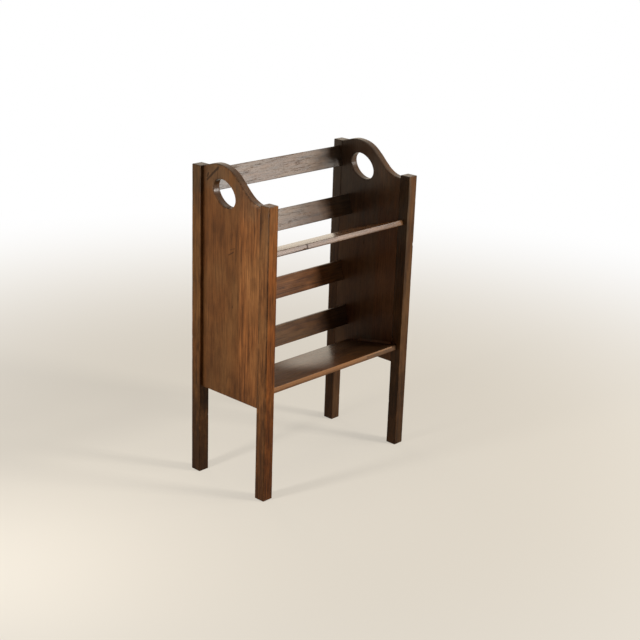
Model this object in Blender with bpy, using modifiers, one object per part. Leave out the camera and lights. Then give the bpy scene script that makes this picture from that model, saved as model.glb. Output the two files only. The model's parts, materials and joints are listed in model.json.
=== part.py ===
"""Book trough in dark stained oak.

Two ends, each a square front post, a taller square back post and a solid panel between them, carry two
shelves that slope down to the back and two slats behind each shelf. The panels are dowelled to the posts,
and the shelves and slats sit in stopped housings cut into the inner faces of the ends.
Metres, +Z up, +X to the right, +Y to the back; the origin is on the floor, under the middle of the trough.
"""
import math

import bmesh
import bpy
from mathutils import Vector

# Whole object
OVERALL_WIDTH = 0.4708
OVERALL_DEPTH = 0.2350
FIT_GAP = 0.0003

# Posts
POST_SIDE = 0.0268
BACK_POST_HEIGHT = 0.7114
FRONT_POST_HEIGHT = 0.6608
POST_EASE = 0.0012

# End panels, flush with the posts on the inside
PANEL_THICKNESS = 0.0190
PANEL_BOTTOM = 0.2084
PANEL_EASE = 0.0009
SHOULDER_DROP = 0.0006
SHOULDER_SLOPE = math.radians(16.0)
SHOULDER_REACH = 0.0184
HUMP_RISE = 0.0106
HUMP_TO_BACK_POST = 0.0450
HUMP_REACH_BACK = 0.018
HUMP_REACH_FRONT = 0.072
LIP_DROP = 0.0071
LIP_REACH = 0.0630
TOP_EDGE_STEPS = 14

# Hand holes: tilted ovals, placed from the top of the hump
HOLE_LENGTH = 0.0730
HOLE_HEIGHT = 0.0520
HOLE_TILT = math.radians(32.0)
HOLE_BELOW_HUMP = 0.0603
HOLE_BEFORE_HUMP = 0.0200
HOLE_STEPS = 48

# Shelves and slats
SHELF_THICKNESS = 0.0120
SHELF_SETBACK = 0.0120
SLAT_THICKNESS = 0.0085
BOARD_EASE = 0.0007
HOUSING_DEPTH = 0.0050

# Upper tier: its top slat is placed from the tops and the backs of the back posts
UPPER_TILT = math.radians(18.6)
UPPER_SLAT_WIDTH = 0.0478
UPPER_BOTTOM_SLAT_RISE = 0.0340
UPPER_TOP_SLAT_RISE = 0.1490
TOP_SLAT_DROP = 0.0137
TOP_SLAT_INSET = 0.0082

# Lower tier: its shelf is placed from the bottom edges of the panels
LOWER_TILT = math.radians(10.4)
LOWER_SLAT_WIDTH = 0.0486
LOWER_BOTTOM_SLAT_RISE = 0.0388
LOWER_TOP_SLAT_RISE = 0.1488
LOWER_SHELF_MARGIN = 0.0053

# Dowels between panels and posts
DOWEL_DIAMETER = 0.0064
DOWEL_LENGTH = 0.0300
DOWEL_CHAMFER = 0.0006
DOWEL_SIDES = 16
DOWEL_END_DISTANCE = 0.0500
DOWEL_LEVELS = ("low", "lower_middle", "upper_middle", "high")

# Finishes: linear base colour and roughness
OAK_POST = ("stained_oak_post", (0.105, 0.047, 0.023), 0.42)
OAK_PANEL = ("stained_oak_panel", (0.090, 0.043, 0.023), 0.40)
OAK_SHELF = ("stained_oak_shelf", (0.072, 0.039, 0.025), 0.36)
OAK_SLAT = ("stained_oak_slat", (0.078, 0.041, 0.027), 0.38)
BARE_BEECH = ("bare_beech_dowel", (0.520, 0.370, 0.220), 0.60)

SIDES = {"left": -1, "right": 1}

# Faces and levels that several pieces share
INNER_FACE = OVERALL_WIDTH / 2 - POST_SIDE
PANEL_MIDDLE = INNER_FACE + PANEL_THICKNESS / 2
JOINT_LINE = OVERALL_DEPTH / 2 - POST_SIDE
PANEL_EDGE = JOINT_LINE - FIT_GAP
SHOULDER_HEIGHT = BACK_POST_HEIGHT - SHOULDER_DROP
HUMP_HEIGHT = BACK_POST_HEIGHT + HUMP_RISE
HUMP_Y = JOINT_LINE - HUMP_TO_BACK_POST
LIP_HEIGHT = FRONT_POST_HEIGHT - LIP_DROP
BOARD_LENGTH = 2 * (INNER_FACE + HOUSING_DEPTH)
SHELF_FRONT = SHELF_SETBACK - OVERALL_DEPTH / 2

# The dowels run down the middle of the wood that the housings leave
DOWEL_LINE = INNER_FACE + (HOUSING_DEPTH + PANEL_THICKNESS) / 2

# Depth of both shelves, so that the upper tier's top slat ends inside the back posts
TOP_SLAT_TOP = UPPER_TOP_SLAT_RISE + UPPER_SLAT_WIDTH
TOP_SLAT_BACK = OVERALL_DEPTH / 2 - TOP_SLAT_INSET
SHELF_DEPTH = (TOP_SLAT_BACK - SHELF_FRONT - TOP_SLAT_TOP * math.sin(UPPER_TILT)) / math.cos(UPPER_TILT)
SLAT_FRONT = SHELF_DEPTH - SLAT_THICKNESS

# Heights of the shelves' front top edges
UPPER_SHELF_HEIGHT = (
    BACK_POST_HEIGHT - TOP_SLAT_DROP
    + SLAT_FRONT * math.sin(UPPER_TILT) - TOP_SLAT_TOP * math.cos(UPPER_TILT)
)
LOWER_SHELF_HEIGHT = (
    PANEL_BOTTOM + LOWER_SHELF_MARGIN
    + SHELF_DEPTH * math.sin(LOWER_TILT) + SHELF_THICKNESS * math.cos(LOWER_TILT)
)


def clear_scene():
    for obj in list(bpy.data.objects):
        bpy.data.objects.remove(obj, do_unlink=True)


def new_collection(name):
    collection = bpy.data.collections.new(name)
    bpy.context.scene.collection.children.link(collection)
    return collection


def finish(name, colour, roughness):
    """A plain material of the given colour, made once and then shared."""
    material = bpy.data.materials.get(name)
    if material is None:
        material = bpy.data.materials.new(name)
        material.use_nodes = True
        shader = material.node_tree.nodes["Principled BSDF"]
        shader.inputs["Base Color"].default_value = (*colour, 1.0)
        shader.inputs["Roughness"].default_value = roughness
        shader.inputs["Metallic"].default_value = 0.0
    return material


def add_empty(name, location, tilt):
    """A carrier for the pieces of one tier, tipped back about the X axis."""
    empty = bpy.data.objects.new(name, None)
    empty.location = location
    empty.rotation_euler = (-tilt, 0.0, 0.0)
    parts.objects.link(empty)
    return empty


def add_piece(name, mesh, location, parent=None, look=None):
    """An object of the trough, or, with no finish given, a cutter."""
    obj = bpy.data.objects.new(name, mesh)
    obj.location = location
    obj.parent = parent
    if look:
        mesh.materials.clear()
        mesh.materials.append(finish(*look))
        parts.objects.link(obj)
    else:
        obj.hide_render = True
        obj.display_type = "WIRE"
        cutters.objects.link(obj)
    return obj


def box_mesh(name, size):
    """A box of the given size about its own centre."""
    mesh = bpy.data.meshes.new(name)
    bm = bmesh.new()
    bmesh.ops.create_cube(bm, size=1.0)
    bmesh.ops.scale(bm, vec=Vector(size), verts=bm.verts)
    bm.to_mesh(mesh)
    bm.free()
    return mesh


def ease_edges(obj, width, segments=2):
    bevel = obj.modifiers.new("eased edges", "BEVEL")
    bevel.width = width
    bevel.segments = segments
    bevel.limit_method = "ANGLE"
    obj.data.shade_smooth()
    obj.data.set_sharp_from_angle(angle=math.radians(50))


def cut_joints(obj):
    """Takes every housing and dowel hole that meets this piece out of it."""
    boolean = obj.modifiers.new("housings and dowel holes", "BOOLEAN")
    boolean.operation = "DIFFERENCE"
    boolean.solver = "EXACT"
    boolean.operand_type = "COLLECTION"
    boolean.collection = cutters


def add_board(name, depth, height, centre, tier, look):
    """A board across the trough, let into both ends, and the cutter for its housings."""
    board = add_piece(name, box_mesh(name, (BOARD_LENGTH, depth, height)), centre, tier, look)
    ease_edges(board, BOARD_EASE)
    grown = [side + 2 * FIT_GAP for side in (BOARD_LENGTH, depth, height)]
    add_piece(name + "_housing", box_mesh(name + "_housing", grown), centre, tier)


def add_tier(name, shelf_name, shelf_height, tilt, slat_width, slat_rises):
    """A shelf and its slats, laid out square to each other and tipped back together.

    In the tier's own axes Y runs down the shelf from its front top edge, and Z up the slats."""
    tier = add_empty(name, (0.0, SHELF_FRONT, shelf_height), tilt)
    shelf_centre = (0.0, SHELF_DEPTH / 2, -SHELF_THICKNESS / 2)
    add_board(shelf_name, SHELF_DEPTH, SHELF_THICKNESS, shelf_centre, tier, OAK_SHELF)
    for slat, rise in slat_rises.items():
        slat_centre = (0.0, SLAT_FRONT + SLAT_THICKNESS / 2, rise + slat_width / 2)
        add_board(f"{name}_{slat}_slat", SLAT_THICKNESS, slat_width, slat_centre, tier, OAK_SLAT)


def add_post(name, side, end, height):
    """A square post; side is -1 for left and 1 for right, end is -1 for front and 1 for back."""
    middle_x = side * (OVERALL_WIDTH - POST_SIDE) / 2
    middle_y = end * (OVERALL_DEPTH - POST_SIDE) / 2
    mesh = box_mesh(name, (POST_SIDE, POST_SIDE, height))
    post = add_piece(name, mesh, (middle_x, middle_y, height / 2), None, OAK_POST)
    ease_edges(post, POST_EASE)
    cut_joints(post)


def set_knot(point, place, before, after):
    """Places a curve point; before and after are handle offsets, or None for a straight side."""
    point.co = (*place, 0.0)
    point.handle_left_type = "FREE" if before else "VECTOR"
    point.handle_right_type = "FREE" if after else "VECTOR"
    if before:
        point.handle_left = (place[0] + before[0], place[1] + before[1], 0.0)
    if after:
        point.handle_right = (place[0] + after[0], place[1] + after[1], 0.0)


def panel_outline(curve):
    """The panel's edge, seen from the right: shoulder, hump, S curve down to the front lip, straight sides."""
    rise = (-SHOULDER_REACH * math.cos(SHOULDER_SLOPE), SHOULDER_REACH * math.sin(SHOULDER_SLOPE))
    knots = [
        ((PANEL_EDGE, PANEL_BOTTOM), None, None),
        ((PANEL_EDGE, SHOULDER_HEIGHT), None, rise),
        ((HUMP_Y, HUMP_HEIGHT), (HUMP_REACH_BACK, 0.0), (-HUMP_REACH_FRONT, 0.0)),
        ((-PANEL_EDGE, LIP_HEIGHT), (LIP_REACH, 0.0), None),
        ((-PANEL_EDGE, PANEL_BOTTOM), None, None),
    ]
    spline = curve.splines.new("BEZIER")
    spline.bezier_points.add(len(knots) - 1)
    for point, knot in zip(spline.bezier_points, knots):
        set_knot(point, *knot)
    spline.use_cyclic_u = True


def hole_outline(curve):
    """The hand hole, an oval whose long axis falls to the front as the panel's top does."""
    middle = Vector((HUMP_Y - HOLE_BEFORE_HUMP, HUMP_HEIGHT - HOLE_BELOW_HUMP))
    along = Vector((math.cos(HOLE_TILT), math.sin(HOLE_TILT)))
    across = Vector((-along.y, along.x))
    spline = curve.splines.new("POLY")
    spline.points.add(HOLE_STEPS - 1)
    for step, point in enumerate(spline.points):
        turn = math.tau * step / HOLE_STEPS
        place = middle + along * HOLE_LENGTH / 2 * math.cos(turn) + across * HOLE_HEIGHT / 2 * math.sin(turn)
        point.co = (place.x, place.y, 0.0, 1.0)
    spline.use_cyclic_u = True


def panel_mesh():
    """The panel as a solid mesh: its outline filled, thickened and eased along every edge."""
    curve = bpy.data.curves.new("panel_outline", "CURVE")
    curve.dimensions = "2D"
    curve.fill_mode = "BOTH"
    curve.resolution_u = TOP_EDGE_STEPS
    curve.extrude = PANEL_THICKNESS / 2 - PANEL_EASE
    curve.bevel_depth = PANEL_EASE
    curve.bevel_resolution = 1
    curve.offset = -PANEL_EASE
    panel_outline(curve)
    hole_outline(curve)
    drawn = bpy.data.objects.new("panel_outline", curve)
    cutters.objects.link(drawn)
    graph = bpy.context.evaluated_depsgraph_get()
    mesh = bpy.data.meshes.new_from_object(drawn.evaluated_get(graph))
    bpy.data.objects.remove(drawn, do_unlink=True)
    bm = bmesh.new()
    bm.from_mesh(mesh)
    bmesh.ops.remove_doubles(bm, verts=bm.verts, dist=0.00001)
    bmesh.ops.recalc_face_normals(bm, faces=bm.faces)
    bm.to_mesh(mesh)
    bm.free()
    mesh.shade_smooth()
    mesh.set_sharp_from_angle(angle=math.radians(40))
    return mesh


def add_panel(name, side, mesh):
    """An end panel: the outline's axes are turned so that it stands in the YZ plane."""
    panel = add_piece(name, mesh, (side * PANEL_MIDDLE, 0.0, 0.0), None, OAK_PANEL)
    panel.rotation_euler = (math.pi / 2, 0.0, math.pi / 2)
    cut_joints(panel)


def dowel_mesh(name, radius, length, chamfer):
    """A round pin along Y with a small chamfer at both ends."""
    mesh = bpy.data.meshes.new(name)
    bm = bmesh.new()
    bmesh.ops.create_cone(
        bm, cap_ends=True, segments=DOWEL_SIDES, radius1=radius, radius2=radius, depth=length
    )
    if chamfer:
        rims = [edge for edge in bm.edges if len(edge.link_faces[0].verts) != len(edge.link_faces[1].verts)]
        bmesh.ops.bevel(bm, geom=rims, offset=chamfer, segments=1, affect="EDGES", profile=0.5)
    bm.to_mesh(mesh)
    bm.free()
    mesh.shade_smooth()
    mesh.set_sharp_from_angle(angle=math.radians(30))
    return mesh


def add_dowels(side_name, side, end_name, end, joint_top):
    """The dowels of one edge joint, evenly spaced between the panel's bottom and the top of that joint."""
    lowest = PANEL_BOTTOM + DOWEL_END_DISTANCE
    highest = joint_top - DOWEL_END_DISTANCE
    spacing = (highest - lowest) / (len(DOWEL_LEVELS) - 1)
    for step, level in enumerate(DOWEL_LEVELS):
        name = f"{side_name}_{end_name}_dowel_{level}"
        place = (side * DOWEL_LINE, end * JOINT_LINE, lowest + step * spacing)
        pin = dowel_mesh(name, DOWEL_DIAMETER / 2, DOWEL_LENGTH, DOWEL_CHAMFER)
        bore = dowel_mesh(name + "_hole", DOWEL_DIAMETER / 2 + FIT_GAP, DOWEL_LENGTH + 2 * FIT_GAP, None)
        for obj in (add_piece(name, pin, place, None, BARE_BEECH), add_piece(name + "_hole", bore, place)):
            obj.rotation_euler = (math.pi / 2, 0.0, 0.0)


clear_scene()
parts = new_collection("book_trough")
cutters = new_collection("book_trough_cutters")

add_tier(
    "upper_tier", "upper_shelf", UPPER_SHELF_HEIGHT, UPPER_TILT, UPPER_SLAT_WIDTH,
    {"bottom": UPPER_BOTTOM_SLAT_RISE, "top": UPPER_TOP_SLAT_RISE},
)
add_tier(
    "lower_tier", "lower_shelf", LOWER_SHELF_HEIGHT, LOWER_TILT, LOWER_SLAT_WIDTH,
    {"bottom": LOWER_BOTTOM_SLAT_RISE, "top": LOWER_TOP_SLAT_RISE},
)
end_panel = panel_mesh()
for side_name, side in SIDES.items():
    add_panel(f"{side_name}_end_panel", side, end_panel)
    add_post(f"{side_name}_front_post", side, -1, FRONT_POST_HEIGHT)
    add_post(f"{side_name}_back_post", side, 1, BACK_POST_HEIGHT)
    add_dowels(side_name, side, "front", -1, LIP_HEIGHT)
    add_dowels(side_name, side, "back", 1, SHOULDER_HEIGHT)
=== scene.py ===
"""Looks of the book trough: boards of dark stained oak with worn edges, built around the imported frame.

Every board of the frame is replaced by a finer one of the same size, made in its own axes: X across the
board, Y through it towards its show face, and Z along the grain. The finishes read those axes too.
"""
import json
import math
import random

import bmesh
import bpy
from mathutils import Matrix, Vector, noise

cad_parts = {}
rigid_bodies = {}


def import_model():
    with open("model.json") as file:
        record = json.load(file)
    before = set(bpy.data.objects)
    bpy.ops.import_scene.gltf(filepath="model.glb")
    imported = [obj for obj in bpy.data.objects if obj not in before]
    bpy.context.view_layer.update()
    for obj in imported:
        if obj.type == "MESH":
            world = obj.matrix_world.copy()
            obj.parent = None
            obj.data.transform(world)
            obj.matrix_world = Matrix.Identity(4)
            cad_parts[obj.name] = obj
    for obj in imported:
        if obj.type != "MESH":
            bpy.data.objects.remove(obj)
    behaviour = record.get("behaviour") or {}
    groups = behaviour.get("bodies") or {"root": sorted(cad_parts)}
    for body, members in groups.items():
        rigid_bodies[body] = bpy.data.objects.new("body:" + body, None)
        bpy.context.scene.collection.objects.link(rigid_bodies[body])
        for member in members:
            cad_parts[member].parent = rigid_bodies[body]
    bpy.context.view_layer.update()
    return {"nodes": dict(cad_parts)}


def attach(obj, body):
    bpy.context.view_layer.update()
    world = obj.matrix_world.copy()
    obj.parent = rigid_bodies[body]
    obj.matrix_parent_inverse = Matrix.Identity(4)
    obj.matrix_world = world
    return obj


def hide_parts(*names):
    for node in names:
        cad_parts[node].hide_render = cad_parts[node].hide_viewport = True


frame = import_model()

# Tilts of the tiers and the fit of their boards in the ends, as in the part's source
UPPER_TILT = math.radians(18.6)
LOWER_TILT = math.radians(10.4)
HOUSING_GAP = 0.0003

# Outline of the end panels, as in the part's source: offsets from the panel's own corners
SHOULDER_SLOPE = math.radians(16.0)
SHOULDER_REACH = 0.0184
SHOULDER_BELOW_HUMP = 0.0112
HUMP_TO_BACK_EDGE = 0.0447
HUMP_REACH_BACK = 0.018
HUMP_REACH_FRONT = 0.072
LIP_BELOW_HUMP = 0.0683
LIP_REACH = 0.0630
HOLE_LENGTH = 0.0730
HOLE_HEIGHT = 0.0520
HOLE_TILT = math.radians(32.0)
HOLE_BELOW_HUMP = 0.0603
HOLE_BEFORE_HUMP = 0.0200

# Fineness of the meshes: distances between points, and steps along each stretch of an outline
STATION = 0.003
SIDE_SPACING = 0.012
ARC_STEPS = 3
QUARTER_TURN = [math.pi / 2 * step / ARC_STEPS for step in range(ARC_STEPS + 1)]
HUMP_STEPS = 18
FALL_STEPS = 52
FRONT_STEPS = 120
BOTTOM_STEPS = 48
BACK_STEPS = 130
HOLE_STEPS = 84
CORNER_CLEAR = 0.0068
SAME_POINT = 0.00001
LEAST_CORNER_COSINE = 0.5

# How far points beside an edge count as edge: (distance from it, share)
EDGE_FADE = ((0.0014, 0.45), (0.0040, 0.0))
# The same on a side too narrow for those distances: (place along the side, share)
NARROW_SIDE = 0.011
NARROW_FADE = ((0.22, 0.45), (0.5, 0.1), (0.78, 0.45))
# The same on the two ends of a board: (distance as a multiple of the ease, share)
END_FADE = ((1.6, 0.5), (2.8, 0.0))
# The same inside a panel's rim: place between the middle and the face, and share
RIM_INSIDE = 0.45
RIM_INSIDE_EDGE = 0.1

# Eased edges, how knocks deepen them, and how unevenly edges and faces are worn
POST_EASE = 0.0013
BOARD_EASE = 0.0009
PANEL_TOP_EASE = 0.0019
PANEL_SIDE_EASE = 0.0007
HOLE_EASE = 0.0019
LEAST_EASE = 0.00012
MOST_OF_THICKNESS = 0.42
KNOCKS = 5
KNOCK_HALF_LENGTHS = (0.002, 0.007)
KNOCK_SHARES = (0.3, 1.0)
DEEPEST_KNOCK = 0.0012
SLOW_WAVER = 0.28
SLOW_PITCH = 0.045
QUICK_WAVER = 0.16
QUICK_PITCH = 0.011
DEEPEST_HOLLOW = 0.00008
WIDTH_PITCH = 0.16
THICKNESS_PITCH = 0.13

# What sets the noise of one edge, face or board apart from the next
SEED_ACROSS = 17.31
SEED_DOWN = 5.77
QUICK_SEED = 3.3
CORNER_SEED = 1.9
WIDTH_SEED = 8.1
THICKNESS_SEED = 9.4
FACE_SEED = 2
HOLE_SEED = 50
KNOCK_SEEDS = 10

# Shading: edges sharper than this stay sharp, and large faces outweigh small ones by this setting
SHARP_ANGLE = math.radians(60)
FLAT_FACE_WEIGHT = 90

X_AXIS = Vector((1, 0, 0))
Y_AXIS = Vector((0, 1, 0))
Z_AXIS = Vector((0, 0, 1))


def tier_axes(tilt):
    """Down the shelf, and up the slats, of a tier that leans back by this angle."""
    down = Vector((0, math.cos(tilt), -math.sin(tilt)))
    up = Vector((0, math.sin(tilt), math.cos(tilt)))
    return down, up


def shelf_axes(tilt):
    """A shelf's own axes: down its slope, up from its top face, and along it."""
    down, up = tier_axes(tilt)
    return down, up, X_AXIS


def slat_axes(tilt):
    """A slat's own axes: up its face, out of its front, and along it."""
    down, up = tier_axes(tilt)
    return up, -down, X_AXIS


POST_AXES = (X_AXIS, Y_AXIS, Z_AXIS)
PANEL_AXES = (Y_AXIS, -X_AXIS, Z_AXIS)


def cad_place(node, axes):
    """A CAD node's size along the board's axes, and the matrix that puts a board there."""
    points = [vertex.co for vertex in frame["nodes"][node].data.vertices]
    reach = [[point.dot(axis) for point in points] for axis in axes]
    size = Vector([max(values) - min(values) for values in reach])
    centre = Vector()
    for axis, values in zip(axes, reach):
        centre += axis * (max(values) + min(values)) / 2
    turn = Matrix(axes).transposed().to_4x4()
    return size, Matrix.Translation(centre) @ turn


def cad_face(node, axis, pick):
    """How far a CAD node reaches along an axis: pick is min or max."""
    return pick(vertex.co.dot(axis) for vertex in frame["nodes"][node].data.vertices)


def waver(seed, place, pitch):
    """Smooth noise between -1 and 1 along a line."""
    return noise.noise(Vector((seed * SEED_ACROSS, place / pitch, seed * SEED_DOWN)))


def knocks_along(seed, length):
    """Small knocks along an edge: (place, half length, depth)."""
    draw = random.Random(seed)
    made = []
    for _ in range(KNOCKS):
        place = draw.uniform(-length / 2, length / 2)
        half = draw.uniform(*KNOCK_HALF_LENGTHS)
        depth = DEEPEST_KNOCK * draw.uniform(*KNOCK_SHARES) ** 2
        made.append((place, half, depth))
    return made


def edge_radius(ease, seed, place, knocks=()):
    """The rounding of a worn edge at one place along it."""
    slow = SLOW_WAVER * waver(seed, place, SLOW_PITCH)
    quick = QUICK_WAVER * waver(seed + QUICK_SEED, place, QUICK_PITCH)
    radius = ease * (1 + slow + quick)
    for knock_place, half, depth in knocks:
        near = 1 - abs(place - knock_place) / half
        if near > 0:
            radius += depth * near * near * (3 - 2 * near)
    return radius


def hollowed(seed, place, pitch, breadth):
    """The share of its breadth that an uneven board keeps at one place along it."""
    return 1 - DEEPEST_HOLLOW * abs(waver(seed, place, pitch)) / breadth


def along_side(length):
    """Where points go along a straight side of a cross-section, with how far each counts as edge."""
    if length < NARROW_SIDE:
        return NARROW_FADE
    marks = [(distance / length, edge) for distance, edge in EDGE_FADE]
    inner = max(1, round(length / SIDE_SPACING) - 1)
    first, last = marks[-1][0], 1 - marks[-1][0]
    middle = [(first + (last - first) * (i + 1) / (inner + 1), 0.0) for i in range(inner)]
    return marks + middle + [(1 - place, edge) for place, edge in reversed(marks)]


def cross_section(width, thickness, radii, sides):
    """Points (x, y, edge) round a board, starting at its +X +Y corner."""
    arcs = []
    for corner, (sign_x, sign_y) in enumerate(((1, 1), (-1, 1), (-1, -1), (1, -1))):
        radius = radii[corner]
        middle = Vector((sign_x * (width / 2 - radius), sign_y * (thickness / 2 - radius)))
        turns = [corner * math.pi / 2 + turn for turn in QUARTER_TURN]
        arcs.append([middle + radius * Vector((math.cos(turn), math.sin(turn))) for turn in turns])
    points = []
    for corner in range(4):
        points += [(point.x, point.y, 1.0) for point in arcs[corner]]
        first, last = arcs[corner][-1], arcs[(corner + 1) % 4][0]
        for share, edge in sides[corner % 2]:
            point = first.lerp(last, share)
            points.append((point.x, point.y, edge))
    return points


def end_rounding(length, ease):
    """Stations along a board: (place, inset), with its two ends rounded over."""
    half = length / 2
    low = [(-half + ease * (1 - math.cos(turn)), ease * (1 - math.sin(turn))) for turn in QUARTER_TURN]
    count = round((length - 2 * ease) / STATION)
    span = (length - 2 * ease) / count
    middle = [(-half + ease + span * step, 0.0) for step in range(1, count)]
    return low + middle + [(-place, inset) for place, inset in reversed(low)]


def wear_layers(bm):
    """The two values that the finishes read at every vertex: how far it is edge, and end grain."""
    return bm.verts.layers.float.new("edge"), bm.verts.layers.float.new("end_grain")


def add_vertex(bm, layers, place, edge, end_grain):
    """A vertex with those two values."""
    vertex = bm.verts.new(place)
    vertex[layers[0]] = edge
    vertex[layers[1]] = end_grain
    return vertex


def skin(bm, rings):
    """Faces between each ring of vertices and the next."""
    for ring, following in zip(rings, rings[1:]):
        for step in range(len(ring)):
            after = (step + 1) % len(ring)
            bm.faces.new((ring[step], ring[after], following[after], following[step]))


def mesh_from(bm, name):
    """Keeps a finished shape as a mesh."""
    mesh = bpy.data.meshes.new(name)
    bm.to_mesh(mesh)
    bm.free()
    return mesh


def end_rings(bm, layers, outer, size, ease):
    """Rings of vertices on one end of a board, from its edge inwards."""
    rings = []
    for eases, edge in END_FADE:
        inset = ease * eases
        ring = []
        for vertex in outer:
            x, y, z = vertex.co
            place = (x * (1 - 2 * inset / size.x), y * (1 - 2 * inset / size.y), z)
            ring.append(add_vertex(bm, layers, place, edge, 1.0))
        rings.append(ring)
    return rings


def worn_board(name, size, ease, seed, chips):
    """A board with eased, worn edges. chips are (corner, place, half length, depth)."""
    width, thickness, length = size
    sides = [along_side(width - 2 * ease), along_side(thickness - 2 * ease)]
    knocks = [knocks_along(seed * KNOCK_SEEDS + corner, length) for corner in range(4)]
    for corner, place, half, depth in chips:
        knocks[corner].append((place, half, depth))
    bm = bmesh.new()
    layers = wear_layers(bm)
    rings = []
    for place, inset in end_rounding(length, ease):
        radii = []
        for corner in range(4):
            radius = edge_radius(ease, seed + corner * CORNER_SEED, place, knocks[corner])
            radii.append(min(max(radius - inset, LEAST_EASE), thickness * MOST_OF_THICKNESS))
        thinner_x = hollowed(seed + WIDTH_SEED, place, WIDTH_PITCH, width)
        thinner_y = hollowed(seed + THICKNESS_SEED, place, THICKNESS_PITCH, thickness)
        ring = []
        for x, y, edge in cross_section(width - 2 * inset, thickness - 2 * inset, radii, sides):
            point = (x * thinner_x, y * thinner_y, place)
            ring.append(add_vertex(bm, layers, point, 1.0 if inset else edge, 1.0 if inset else 0.0))
        rings.append(ring)
    start = end_rings(bm, layers, rings[0], size, ease)
    end = end_rings(bm, layers, rings[-1], size, ease)
    rings = start[::-1] + rings + end
    skin(bm, rings)
    bm.faces.new(rings[0][::-1])
    bm.faces.new(rings[-1])
    return mesh_from(bm, name)


def bezier(first, handle, last_handle, last, steps):
    """Points along a cubic curve, without its last one."""
    points = []
    for step in range(steps):
        t = step / steps
        s = 1 - t
        points.append(first * s**3 + handle * 3 * s * s * t + last_handle * 3 * s * t * t + last * t**3)
    return points


def straight(first, last, steps):
    """Points along a straight line, without its last one."""
    return [first.lerp(last, step / steps) for step in range(steps)]


def clear_of_corners(points, corners):
    """Leaves out points so near a sharp corner that the rings inside the edge would fold over there."""
    kept = []
    for point in points:
        nearest = min((point - corner).length for corner in corners)
        if nearest < SAME_POINT or nearest > CORNER_CLEAR:
            kept.append(point)
    return kept


def panel_outline(size):
    """The panel's edge in its own axes, as (point, ease), from the shoulder to the front and round."""
    half_width, half_height = size.x / 2, size.z / 2
    hump = Vector((half_width - HUMP_TO_BACK_EDGE, half_height))
    shoulder = Vector((half_width, half_height - SHOULDER_BELOW_HUMP))
    lip = Vector((-half_width, half_height - LIP_BELOW_HUMP))
    low_front = Vector((-half_width, -half_height))
    low_back = Vector((half_width, -half_height))
    rise = SHOULDER_REACH * Vector((-math.cos(SHOULDER_SLOPE), math.sin(SHOULDER_SLOPE)))
    behind_hump = hump + Vector((HUMP_REACH_BACK, 0))
    before_hump = hump - Vector((HUMP_REACH_FRONT, 0))
    behind_lip = lip + Vector((LIP_REACH, 0))
    top = bezier(shoulder, shoulder + rise, behind_hump, hump, HUMP_STEPS)
    top += bezier(hump, before_hump, behind_lip, lip, FALL_STEPS)
    sides = straight(lip, low_front, FRONT_STEPS)
    sides += straight(low_front, low_back, BOTTOM_STEPS)
    sides += straight(low_back, shoulder, BACK_STEPS)
    corners = (shoulder, lip, low_front, low_back)
    top = clear_of_corners(top, corners)
    sides = clear_of_corners(sides, corners)
    return [(point, PANEL_TOP_EASE) for point in top] + [(point, PANEL_SIDE_EASE) for point in sides]


def hole_outline(size):
    """The hand hole's edge in the panel's axes, turning the other way round from the panel's own edge."""
    middle = Vector((size.x / 2 - HUMP_TO_BACK_EDGE - HOLE_BEFORE_HUMP, size.z / 2 - HOLE_BELOW_HUMP))
    along = Vector((math.cos(HOLE_TILT), math.sin(HOLE_TILT)))
    across = Vector((-along.y, along.x))
    points = []
    for step in range(HOLE_STEPS):
        turn = -math.tau * step / HOLE_STEPS
        place = along * HOLE_LENGTH / 2 * math.cos(turn) + across * HOLE_HEIGHT / 2 * math.sin(turn)
        points.append((middle + place, HOLE_EASE))
    return points


def inward(points):
    """For each point of a closed outline, the direction into the wood, lengthened at corners."""
    directions = []
    for step, point in enumerate(points):
        before = (point - points[step - 1]).normalized()
        after = (points[(step + 1) % len(points)] - point).normalized()
        normal_before = Vector((-before.y, before.x))
        normal_after = Vector((-after.y, after.x))
        both = (normal_before + normal_after).normalized()
        directions.append(both / max(both.dot(normal_after), LEAST_CORNER_COSINE))
    return directions


def panel_rim(bm, layers, outline, thickness, seed):
    """The rounded rim round one outline. Returns the loops of vertices that the two faces start from."""
    points = [point for point, ease in outline]
    directions = inward(points)
    run = 0.0
    places = []
    for step, point in enumerate(points):
        places.append(run)
        run += (points[(step + 1) % len(points)] - point).length
    rings = []
    half = thickness / 2
    for face in (1, -1):
        radii = []
        for (point, ease), place in zip(outline, places):
            radii.append(edge_radius(ease, seed + FACE_SEED * face, place - run / 2))
        side = []
        for extra, edge in reversed(EDGE_FADE):
            side.append(([extra + radius for radius in radii], [half] * len(radii), edge, 0.0))
        for turn in QUARTER_TURN:
            insets = [radius * (1 - math.sin(turn)) for radius in radii]
            heights = [half - radius * (1 - math.cos(turn)) for radius in radii]
            side.append((insets, heights, 1.0, turn / QUARTER_TURN[-1]))
        side.append(([0.0] * len(radii), [half * RIM_INSIDE] * len(radii), RIM_INSIDE_EDGE, 1.0))
        made = []
        for insets, heights, edge, end_grain in side:
            ring = []
            for point, direction, inset, height in zip(points, directions, insets, heights):
                place = point + direction * inset
                ring.append(add_vertex(bm, layers, (place.x, height * face, place.y), edge, end_grain))
            made.append(ring)
        rings += made if face == 1 else made[::-1]
    skin(bm, rings)
    return rings[0], rings[-1]


def loop_edges(bm, loop):
    """The edges of a closed loop of vertices."""
    return [bm.edges.get((loop[step - 1], loop[step])) for step in range(len(loop))]


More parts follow.
